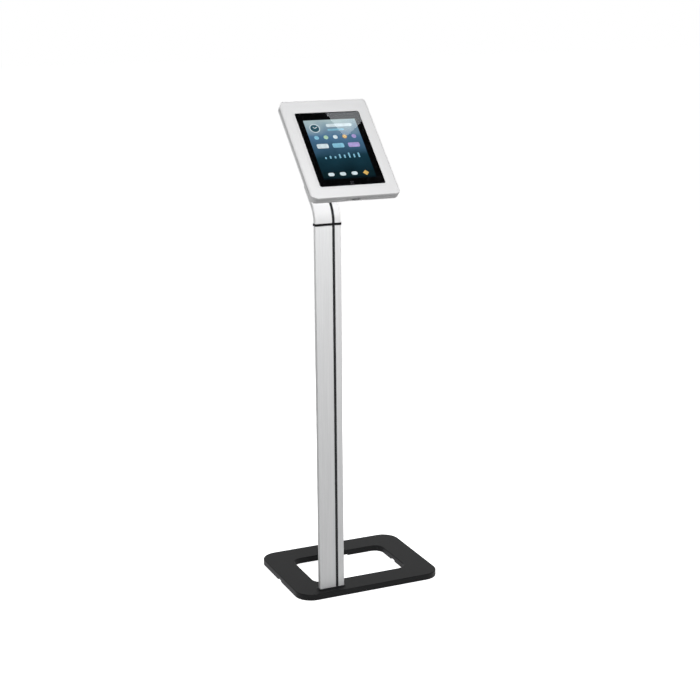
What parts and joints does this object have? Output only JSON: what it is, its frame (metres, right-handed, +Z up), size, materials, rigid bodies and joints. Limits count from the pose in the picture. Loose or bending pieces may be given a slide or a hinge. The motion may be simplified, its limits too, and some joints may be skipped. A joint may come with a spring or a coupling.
{
  "type": "tablet floor stand",
  "caption": "Floor stand that holds a tablet in a locking tilting frame on a flat column over a ring base.",
  "frame": {"origin": "on the floor under the middle of the whole stand's box", "axes": "+Z up, -Y towards the person using the screen, +X to the stand's right in the picture"},
  "size_m": [0.426, 0.358, 1.3315],
  "materials": {
    "base_black": "satin powder coat",
    "collar_black": "satin",
    "plate_steel": "plain rolled",
    "screw_steel": "zinc plated",
    "foot_rubber": "matte",
    "column_aluminium": "satin anodised",
    "strip_black": "satin",
    "enclosure_white": "satin powder coat",
    "cap_white": "satin",
    "hinge_grey": "grey enamel",
    "hinge_steel": "zinc plated",
    "washer_brass": "turned",
    "glide_nylon": "natural",
    "lock_chrome": "polished",
    "cushion_foam": "closed cell foam",
    "tablet_shell": "satin",
    "display_panel": "lit panel",
    "tablet_glass": "clear with a black border",
    "lens_glass": "polished",
    "button_black": "gloss"
  },
  "bodies": {
    "stand": {"base_cover": "base_black", "base_ballast": "plate_steel", "base_feet": "foot_rubber", "ballast_screws": "screw_steel", "foot_plate": "plate_steel", "foot_bolts": "screw_steel", "foot_collar": "collar_black", "column_post": "column_aluminium", "column_strip": "strip_black", "neck_strip": "strip_black", "column_band": "strip_black", "spigot_bar": "plate_steel", "spigot_screws": "screw_steel", "neck": "enclosure_white", "neck_cap": "cap_white", "hinge_block": "hinge_grey", "block_screws": "screw_steel", "tilt_washers": "washer_brass"},
    "tilt_arm": {"tilt_plate": "hinge_steel", "tilt_pin": "screw_steel", "tilt_nut": "screw_steel"},
    "head": {"glide_disc": "glide_nylon", "pivot_bolt": "screw_steel", "pivot_washer": "screw_steel", "pivot_nut": "screw_steel", "stop_pin": "screw_steel", "enclosure_back": "enclosure_white", "frame_hinge_pins": "screw_steel", "lock_barrel": "lock_chrome", "lock_nut": "washer_brass", "side_cushions": "cushion_foam", "back_cushions": "cushion_foam", "tablet_body": "tablet_shell", "tablet_display": "display_panel", "tablet_glass": "tablet_glass", "camera_lens": "lens_glass"},
    "front_frame": {"enclosure_front": "enclosure_white", "frame_catch": "hinge_steel", "catch_screws": "screw_steel"},
    "lock_core": {"lock_plug": "lock_chrome", "lock_cam": "hinge_steel", "cam_screw": "screw_steel"},
    "home_button": {"home_button": "button_black"}
  },
  "joints": [
    {"name": "head_tilt", "type": "hinge", "parent": "stand", "child": "tilt_arm", "pos_m": [-0.112, -0.09717, 1.12664], "axis": [-1, 0, 0], "range_deg": [-30, 45]},
    {"name": "head_turn", "type": "hinge", "parent": "tilt_arm", "child": "head", "pos_m": [-0.0496, -0.05015, 1.20265], "axis": [0, -0.7071, 0.7071], "range_deg": [0, 90]},
    {"name": "frame_opening", "type": "hinge", "parent": "head", "child": "front_frame", "pos_m": [-0.0496, 0.05595, 1.32784], "axis": [-1, 0, 0], "range_deg": [0, 110]},
    {"name": "lock_turn", "type": "hinge", "parent": "head", "child": "lock_core", "pos_m": [0.0204, -0.15024, 1.10256], "axis": [0, -0.7071, 0.7071], "range_deg": [0, 90]},
    {"name": "home_button_press", "type": "slide", "parent": "head", "child": "home_button", "axis": [0, 0.7071, -0.7071], "range_m": [0, 0.0004], "stiffness_N_per_m": 1500}
  ]
}
